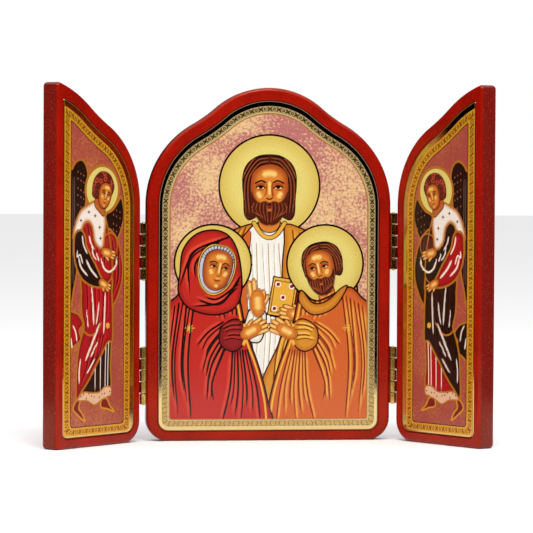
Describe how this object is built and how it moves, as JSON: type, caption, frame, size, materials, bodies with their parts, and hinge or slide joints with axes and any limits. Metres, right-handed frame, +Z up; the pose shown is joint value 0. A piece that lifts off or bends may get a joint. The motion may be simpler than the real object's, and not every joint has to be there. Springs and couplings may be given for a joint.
{
  "type": "triptych altarpiece",
  "caption": "Standing triptych altarpiece: an arched red-lacquered board with a gilt icon print, and half-width wing boards on brass hinges that fold shut over it.",
  "frame": {"origin": "middle of the centre board's underside, at half its thickness", "axes": "+X to the viewer's right along the centre board, +Y from its front to its back, +Z up; the painted front faces -Y"},
  "size_m": [0.1865, 0.0528, 0.1504],
  "materials": {
    "lacquered_wood": "satin red lacquer",
    "gilt_print": "printed gilt foil",
    "brass": "plain stamped brass"
  },
  "bodies": {
    "centre": {"centre_board": "lacquered_wood", "centre_icon_plate": "gilt_print", "left_upper_hinge_fixed_leaf": "brass", "left_upper_hinge_pin": "brass", "left_lower_hinge_fixed_leaf": "brass", "left_lower_hinge_pin": "brass", "right_upper_hinge_fixed_leaf": "brass", "right_upper_hinge_pin": "brass", "right_lower_hinge_fixed_leaf": "brass", "right_lower_hinge_pin": "brass"},
    "left_wing": {"left_wing_board": "lacquered_wood", "left_icon_plate": "gilt_print", "left_upper_hinge_moving_leaf": "brass", "left_lower_hinge_moving_leaf": "brass"},
    "right_wing": {"right_wing_board": "lacquered_wood", "right_icon_plate": "gilt_print", "right_upper_hinge_moving_leaf": "brass", "right_lower_hinge_moving_leaf": "brass"}
  },
  "joints": [
    {"name": "left_wing_hinge", "type": "hinge", "parent": "centre", "child": "left_wing", "pos_m": [-0.0535, -0.0045, 0], "axis": [0, 0, 1], "range_deg": [-43.8, 136.2]},
    {"name": "right_wing_hinge", "type": "hinge", "parent": "centre", "child": "right_wing", "pos_m": [0.0535, -0.0045, 0], "axis": [0, 0, -1], "range_deg": [-57.1, 122.9]}
  ]
}
